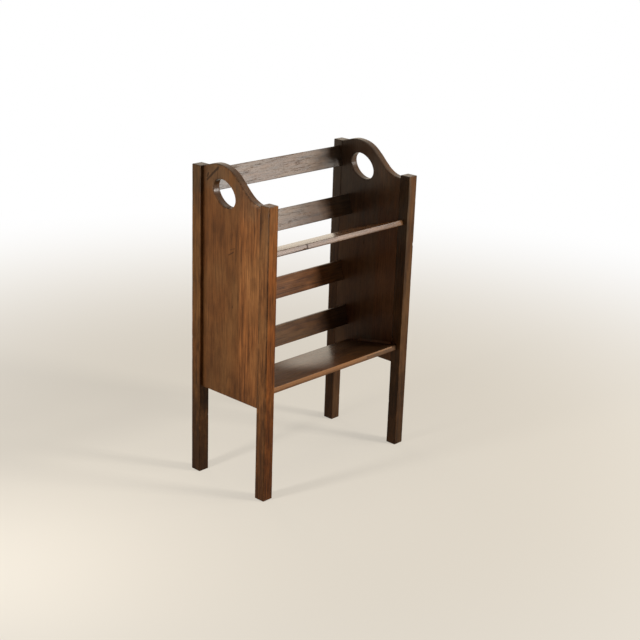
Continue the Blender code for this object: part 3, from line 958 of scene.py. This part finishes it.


# The finish of each board. Fading with the painted greyer tint of shade, grime with painted shade, and
# thick
# varnish hold patches: (middle, size across, through and along the board, strength). Scratches with painted
# shade lines, and scuffs with painted highlights, hold lines: (from, to, width, strength). Places are on
# the trough, in metres.
FINISHES = {
    "left_front_post": dict(
        brown=(0.199, 0.068, 0.0158), fibre_strength=2.0, mottle_strength=0.9, thick_on_ends=0.33,
        grime=darker_foot(-0.22, -0.10, 0.75) + [((POST_SIDE, -0.104, 0.64), (0.004, WHOLE, 0.12), 0.35)],
        faded=[
            ((POST_SIDE, -0.104, 0.45), (0.004, WHOLE, WHOLE), 0.95),
            ((-0.218, POST_FRONT, 0.650), (0.020, 0.020, 0.060), 0.6),
        ],
        scuffs=[((-0.222, POST_FRONT, 0.645), (-0.222, POST_FRONT, 0.56), 0.03, 0.12)],
        scratches=[
            # Painted shade along the front-left arris.
            ((POST_SIDE, POST_FRONT, 0.645), (POST_SIDE, POST_FRONT, 0.30), 0.0026, 0.8),
            ((POST_INSIDE, POST_FRONT, 0.655), (POST_INSIDE, POST_FRONT, 0.50), 0.0060, 0.45),
            ((POST_SIDE, PANEL_FRONT - 0.001, 0.648), (POST_SIDE, PANEL_FRONT - 0.001, 0.215), 0.0034, 0.7),
        ],
    ),
    "left_back_post": dict(
        brown=(0.096, 0.039, 0.0110), fibre_strength=1.6, thick_on_ends=0.21, edge_stain=0.1,
        grime=darker_foot(-0.22, 0.10, 0.95) + [((POST_SIDE, 0.104, 0.69), (0.05, 0.05, 0.14), 0.28)],
        faded=[((POST_SIDE, 0.10, 0.70), (0.05, 0.05, 0.10), 0.9)],
    ),
    "right_front_post": dict(
        brown=(0.085, 0.0385, 0.0137), fibre_strength=1.5, thick_on_ends=0.26,
        grime=darker_foot(0.22, -0.10, 0.6),
        scuffs=[((RIGHT_FACE, -0.0930, 0.2640), (RIGHT_FACE, -0.0925, 0.2665), 0.0022, 0.8)],
        # Painted greyer tint of shade on the upper inner face.
        faded=[((RIGHT_FACE, -0.104, 0.58), (0.012, WHOLE, 0.22), 0.9)],
        thick_varnish=[((RIGHT_FACE, -0.104, 0.58), (0.012, WHOLE, 0.22), 0.08)],
    ),
    "right_back_post": dict(
        brown=(0.082, 0.037, 0.0145), fibre_strength=1.5, thick_on_ends=0.3, edge_stain=0.1,
        grime=darker_foot(0.22, 0.10, 0.35),
        # Painted greyer tint of shade on the upper inner face.
        faded=[((RIGHT_FACE, 0.104, 0.62), (0.030, WHOLE, 0.26), 0.9)],
        thick_varnish=[
            ((RIGHT_FACE, 0.104, 0.62), (0.012, WHOLE, 0.26), 0.26),
            ((RIGHT_FACE, 0.104, 0.71), (0.012, WHOLE, 0.05), 0.50),
        ],
    ),
    "left_end_panel": dict(
        brown=(0.126, 0.052, 0.0167), fibre_strength=0.95, fleck_strength=0.55, mottle_strength=0.6,
        thick_on_ends=0.42,
        thick_varnish=[
            ((LEFT_FACE, -0.078, 0.6550), (0.030, WHOLE, 0.007), 0.9),
            ((HOLE_WALL, 0.018, 0.6450), (0.060, 0.0105, 0.042), 0.75),
            ((HOLE_WALL, -0.030, 0.6900), (0.034, 0.0105, 0.034), 0.58),
        ],
        scuffs=[((LEFT_FACE, -0.0700, 0.6563), (LEFT_FACE, -0.0775, 0.6550), 0.0036, 0.5)],
        front_board=dict(split=-0.0235, lean=0.011, brown=(0.192, 0.0770, 0.0245), fibres=2.2),
        # Painted shadow of the back post on the panel, hard beside the post and soft further out.
        corner_grime=(PANEL_BACK, 0.024, 0.62, 0.35),
        scratches=[
            ((LEFT_FACE, 0.0435, 0.7151), (LEFT_FACE, 0.0579, 0.7017), 0.0034, 1.0),
            ((LEFT_FACE, 0.0579, 0.7017), (LEFT_FACE, 0.0781, 0.6831), 0.0034, 1.0),
            ((LEFT_FACE, 0.0460, 0.7122), (LEFT_FACE, 0.0470, 0.7114), 0.0046, 1.0),
            ((LEFT_FACE, 0.0741, 0.6974), (LEFT_FACE, 0.0781, 0.6895), 0.0028, 0.9),
            ((LEFT_FACE, 0.0092, 0.5319), (LEFT_FACE, -0.0049, 0.5406), 0.0021, 0.8),
            ((LEFT_FACE, 0.0060, 0.5436), (LEFT_FACE, -0.0096, 0.5501), 0.0016, 0.5),
            ((LEFT_FACE, -0.0037, 0.4170), (LEFT_FACE, -0.0037, 0.4210), 0.0020, 0.8),
        ],
        # Darker on the hole's wall, on the face near the lip, in three smudges, and towards the bottom.
        grime=[
            ((HOLE_WALL, 0.0180, 0.6450), (0.060, 0.0105, 0.042), 0.45),
            ((HOLE_WALL, 0.0520, 0.6840), (0.022, 0.0105, 0.016), 0.80),
            ((LEFT_FACE, -0.0520, 0.6560), (0.050, 0.006, 0.045), 0.34),
            ((LEFT_FACE, -0.0320, 0.6760), (0.032, 0.006, 0.034), 0.36),
            ((LEFT_FACE, -0.0680, 0.4820), (0.013, WHOLE, 0.026), 0.40),
            ((LEFT_FACE, 0.0393, 0.5891), (0.020, WHOLE, 0.040), 0.25),
            ((LEFT_FACE, 0.0034, 0.4734), (0.014, WHOLE, 0.030), 0.25),
            ((LEFT_FACE, 0.0600, 0.2500), (0.060, WHOLE, 0.160), 0.35),
            ((LEFT_FACE, -0.0500, 0.1900), (0.120, WHOLE, 0.100), 0.40),
        ],
        faded=[
            ((LEFT_FACE, 0.060, 0.705), (0.06, 0.03, 0.06), 0.8),
            ((LEFT_FACE, -0.052, 0.656), (0.06, 0.03, 0.06), 0.5),
            ((LEFT_FACE, -0.032, 0.676), (0.04, 0.03, 0.04), 0.7),
        ],
    ),
    "right_end_panel": dict(
        brown=(0.122, 0.060, 0.027), fibre_strength=0.25, fleck_strength=0.2, mottle_strength=0.6,
        thick_on_ends=0.29, edge_stain=0.1, shine=0.13,
        front_board=dict(split=-0.030, lean=-0.008, brown=(0.150, 0.066, 0.0255), fibres=0.5),
        scuffs=[
            # A pale line along the joint with the lower shelf, then a painted pool of light between the
            # shadows of the lower slats.
            ((RIGHT_FACE, 0.0090, 0.2360), (RIGHT_FACE, -0.0850, 0.2525), 0.0055, 1.0),
            ((RIGHT_FACE, -0.0200, 0.3840), (RIGHT_FACE, -0.0850, 0.4000), 0.0400, 0.14),
        ],
        grime=[
            ((RIGHT_FACE, 0.06, 0.66), (0.16, 0.012, 0.18), 0.33),
            ((RIGHT_FACE, -0.02, 0.69), (0.06, 0.012, 0.06), 0.36),
        ],
        faded=[
            # Painted greyer tint of shade across the upper inner face, and a greyer line along the joint
            # with the lower shelf.
            ((RIGHT_FACE, 0.03, 0.66), (0.20, 0.012, 0.20), 1.0),
            ((RIGHT_FACE, -0.038, 0.2443), (0.075, 0.012, 0.020), 1.0),
        ],
        thick_varnish=[((RIGHT_FACE, 0.03, 0.66), (0.20, 0.012, 0.15), 0.16)],
    ),
    "upper_shelf": dict(
        brown=(0.155, 0.068, 0.0235), gloss=0.26, bump_depth=0.0001, edge_stain=0.9, wear=0.1,
        thick_varnish=[
            ((0.02, -0.0300, 0.5342), (WHOLE, 0.008, 0.36), 0.85),
            ((-0.055, -0.1074, 0.5539), (0.005, WHOLE, 0.36), 0.72),
        ],
        scratches=[
            ((-0.1092, -0.1094, 0.5480), (-0.1092, -0.1053, 0.5600), 0.0030, 1.0),
            ((-0.1500, -0.1092, 0.5488), (-0.1092, -0.1092, 0.5488), 0.0026, 0.9),
        ],
    ),
    "lower_shelf": dict(
        brown=(0.135, 0.0580, 0.0205), shine=0.02, bump_depth=0.0001, varnish_gloss=0.27,
        thick_varnish=[
            ((0.090, 0.035, 0.229), (0.090, WHOLE, 0.120), 1.0),
            ((0.030, -0.015, 0.238), (0.130, WHOLE, 0.115), 1.0),
            ((0.0, -0.1063, 0.2485), (0.004, WHOLE, WHOLE), 0.5),
        ],
        scuffs=[
            # A lighter front edge, partly rubbed wear and partly painted highlight; the thinnest line,
            # along the top arris, is the painted highlight.
            ((-0.21, -0.1066, 0.2485), (0.21, -0.1066, 0.2485), 0.0065, 0.22),
            ((-0.21, -0.1062, 0.2510), (0.10, -0.1062, 0.2510), 0.0060, 0.70),
            ((-0.21, -0.1057, 0.2537), (0.19, -0.1057, 0.2537), 0.0036, 1.0),
        ],
        # Painted shade of the right panel over the right part of the shelf: darker, and greyer.
        grime=[((0.19, -0.03, 0.24), (0.20, WHOLE, 0.17), 0.74)],
        faded=[((0.19, -0.03, 0.24), (0.20, WHOLE, 0.17), 0.8)],
    ),
    # The slats carry painted shade at both ends, darker and greyer; the upper top and lower bottom slats
    # get more at the right end, in the right panel's shadow.
    "upper_tier_top_slat": dict(
        brown=(0.118, 0.066, 0.034), shine=0.40, fibre_strength=1.4, bump_depth=0.0008,
        grime=shaded_ends(0.098, 0.674, 0.78) + [((0.225, 0.098, 0.674), (WHOLE, WHOLE, 0.17), 0.45)],
        faded=shaded_ends(0.098, 0.674, 1.0),
    ),
    "upper_tier_bottom_slat": dict(
        brown=(0.114, 0.064, 0.032), shine=0.40, fibre_strength=1.4, bump_depth=0.0008,
        grime=shaded_ends(0.061, 0.564, 0.65), faded=shaded_ends(0.061, 0.564, 1.0),
        thick_varnish=[((0.20, 0.061, 0.564), (WHOLE, WHOLE, 0.08), 0.25)],
    ),
    "lower_tier_top_slat": dict(
        brown=(0.160, 0.066, 0.0215), shine=0.3, fibre_strength=1.5, grime=shaded_ends(0.080, 0.397, 0.45),
        faded=shaded_ends(0.080, 0.397, 1.0),
        thick_varnish=[((0.20, 0.080, 0.397), (WHOLE, WHOLE, 0.08), 0.20)],
    ),
    "lower_tier_bottom_slat": dict(
        brown=(0.106, 0.049, 0.0185), shine=0.3, fibre_strength=1.5,
        grime=shaded_ends(0.060, 0.289, 0.5) + [((0.20, 0.060, 0.289), (WHOLE, WHOLE, 0.150), 0.70)],
        faded=shaded_ends(0.060, 0.289, 0.7),
        thick_varnish=[((0.20, 0.060, 0.289), (WHOLE, WHOLE, 0.08), 0.30)],
    ),
}

# The shelves and slats, with their own axes
BOARDS = {
    "upper_shelf": shelf_axes(UPPER_TILT),
    "lower_shelf": shelf_axes(LOWER_TILT),
    "upper_tier_top_slat": slat_axes(UPPER_TILT),
    "upper_tier_bottom_slat": slat_axes(UPPER_TILT),
    "lower_tier_top_slat": slat_axes(LOWER_TILT),
    "lower_tier_bottom_slat": slat_axes(LOWER_TILT),
}
# Chips that show in the photo: corner of the cross-section, place along the board, half length, depth
CHIPS = {
    "right_front_post": [(3, 0.4994, 0.006, 0.0024), (2, 0.006, 0.009, 0.0030)],
    "upper_shelf": [(2, -0.117, 0.010, 0.0025)],
}
POSTS = ("left_front_post", "left_back_post", "right_front_post", "right_back_post")
PANELS = ("left_end_panel", "right_end_panel")


def chips_on(node, matrix):
    """The chips of one board, measured from its middle."""
    middle = matrix.translation.dot(matrix.col[2].xyz)
    return [(corner, place - middle, half, depth) for corner, place, half, depth in CHIPS.get(node, ())]


def finish_piece(piece, node, seed):
    """Gives a board its own oak and its shading."""
    oak = stained_oak(node + "_oak", piece.matrix_world.copy(), seed, **FINISHES[node])
    piece.data.materials.clear()
    piece.data.materials.append(oak)
    soften(piece)


# Building: shelves and slats first, then the posts and panels that hold them

places = {node: cad_place(node, axes) for node, axes in BOARDS.items()}
cutters = housing_cutters(places.values())
seed = 1
for node, (size, matrix) in places.items():
    mesh = worn_board(node, size, BOARD_EASE, seed, chips_on(node, matrix))
    piece = add_piece(node, mesh, matrix)
    finish_piece(piece, node, seed)
    seed += 1
for node in POSTS:
    size, matrix = cad_place(node, POST_AXES)
    mesh = worn_board(node, size, POST_EASE, seed, chips_on(node, matrix))
    piece = add_piece(node, mesh, matrix)
    cut_housings(piece, cutters)
    finish_piece(piece, node, seed)
    seed += 1
for node in PANELS:
    size, matrix = cad_place(node, PANEL_AXES)
    piece = add_piece(node, worn_panel(node, size, seed), matrix)
    cut_housings(piece, cutters)
    finish_piece(piece, node, seed)
    seed += 1
beech = bare_beech("bare_beech")
for node, dowel in frame["nodes"].items():
    if "_dowel_" in node:
        dowel.material_slots[0].material = beech
for cutter in list(cutters.objects):
    bpy.data.objects.remove(cutter, do_unlink=True)
bpy.data.collections.remove(cutters)


# Stage, light and camera

FLOOR_REACH = 30.0
FLOOR_COLOUR = (0.58, 0.53, 0.45, 1)
FLOOR_ROUGHNESS = 0.9
FLOOR_SHINE = 0.1
FLOOR_SEEN = (1.0, 0.93, 0.82, 1)
FLOOR_REFLECTED = (1.0, 0.89, 0.73, 1)
FLOOR_GLOW = 0.50
FLOOR_FADE = (0.5, 2.4)
ROOM_FILL = 0.05
ROOM_FILL_TINT = (1.0, 0.96, 0.90, 1)
ROOM_REFLECTED = (1.0, 0.88, 0.72, 1)
WHITE = (1, 1, 1, 1)


def background_seen(tree, path):
    """1 where the background shows straight, in a reflection or through glass, and 0 where it lights."""
    seen = calc(tree, "MAXIMUM", path["Is Camera Ray"], path["Is Glossy Ray"])
    return calc(tree, "MAXIMUM", seen, path["Is Transmission Ray"])


def add_floor():
    """A pale floor that keeps the trough's shadow and fades to white away from it."""
    bm = bmesh.new()
    bmesh.ops.create_grid(bm, x_segments=1, y_segments=1, size=FLOOR_REACH)
    mesh = mesh_from(bm, "floor")
    floor = add_object("floor", mesh)
    material, tree, place = new_material("pale_floor")
    shader = tree.nodes["Principled BSDF"]
    shader.inputs["Base Color"].default_value = FLOOR_COLOUR
    shader.inputs["Roughness"].default_value = FLOOR_ROUGHNESS
    shader.inputs["Specular IOR Level"].default_value = FLOOR_SHINE
    away = vector_calc(tree, "LENGTH", place)
    path = add_node(tree, "ShaderNodeLightPath").outputs
    share = ramp(tree, away, *FLOOR_FADE, FLOOR_GLOW, 1.0)
    share = calc(tree, "MULTIPLY", share, background_seen(tree, path))
    far = calc(tree, "MULTIPLY", ramp(tree, away, *FLOOR_FADE), path["Is Camera Ray"])
    near = blend(tree, path["Is Glossy Ray"], FLOOR_SEEN, FLOOR_REFLECTED)
    tint = blend(tree, far, near, WHITE)
    glow = add_node(tree, "ShaderNodeEmission", {"Color": tint, "Strength": 1.0}).outputs[0]
    both = add_node(tree, "ShaderNodeMixShader", {0: share, 1: shader.outputs[0], 2: glow}).outputs[0]
    feed(tree, tree.nodes["Material Output"].inputs["Surface"], both)
    mesh.materials.append(material)


def add_softbox(name, place, aim, width, height, power, colour):
    """A soft lamp of this size, turned towards a point."""
    lamp = bpy.data.lights.new(name, "AREA")
    lamp.shape = "RECTANGLE"
    lamp.size = width
    lamp.size_y = height
    lamp.energy = power
    lamp.color = colour
    holder = add_object(name, lamp)
    holder.location = place
    holder.rotation_euler = (Vector(aim) - Vector(place)).to_track_quat("-Z", "Y").to_euler()


def light_room():
    """A white room for the camera and for reflections, and a weaker even fill on the wood."""
    world = bpy.data.worlds.new("white_room")
    bpy.context.scene.world = world
    world.use_nodes = True
    tree = world.node_tree
    background = tree.nodes["Background"]
    path = add_node(tree, "ShaderNodeLightPath").outputs
    tint = blend(tree, path["Is Glossy Ray"], ROOM_FILL_TINT, ROOM_REFLECTED)
    tint = blend(tree, path["Is Camera Ray"], tint, WHITE)
    feed(tree, background.inputs["Color"], tint)
    strength = calc(tree, "MULTIPLY_ADD", background_seen(tree, path), 1.0 - ROOM_FILL, ROOM_FILL)
    feed(tree, background.inputs["Strength"], strength)


CAMERA_PLACE = Vector((-2.0474, -1.9396, 1.3100))
CAMERA_RIGHT = Vector((0.6862, -0.7268, 0.0330))
CAMERA_UP = Vector((0.2157, 0.2465, 0.9448))
CAMERA_LENS = 73.47
SENSOR = 36.0


def add_camera():
    """The camera as fitted to the photo, for a square picture."""
    camera = bpy.data.cameras.new("camera")
    camera.lens = CAMERA_LENS
    camera.sensor_width = SENSOR
    holder = add_object("camera", camera)
    turn = Matrix((CAMERA_RIGHT, CAMERA_UP, CAMERA_RIGHT.cross(CAMERA_UP))).transposed().to_4x4()
    holder.matrix_world = Matrix.Translation(CAMERA_PLACE) @ turn
    bpy.context.scene.camera = holder


MIDDLE = (0.0, 0.0, 0.40)
LEFT_END = (-0.23, 0.0, 0.45)
PURE_WHITE = (1.0, 1.0, 1.0)
KEY_WHITE = (1.0, 0.982, 0.945)
SIDE_WHITE = (1.0, 0.965, 0.91)
WARM_WHITE = (1.0, 0.93, 0.82)
# Soft lamps: place, aim, width, height, power in watts, colour
SOFTBOXES = {
    "left_softbox": ((-1.10, 0.085, 0.55), LEFT_END, 0.12, 0.28, 7.4, PURE_WHITE),
    "key_softbox": ((1.45, -2.62, 1.42), MIDDLE, 0.6, 0.5, 76.0, KEY_WHITE),
    "side_softbox": ((2.2, -2.1, 1.45), MIDDLE, 1.0, 0.9, 18.0, SIDE_WHITE),
    "top_softbox": ((0.0, 0.0, 2.8), MIDDLE, 1.6, 1.6, 9.0, WARM_WHITE),
    "back_softbox": ((0.8, 3.0, 0.6), MIDDLE, 1.4, 0.8, 20.0, WARM_WHITE),
}

add_floor()
light_room()
for name, lamp in SOFTBOXES.items():
    add_softbox(name, *lamp)
add_camera()
bpy.context.scene.view_settings.view_transform = "Standard"
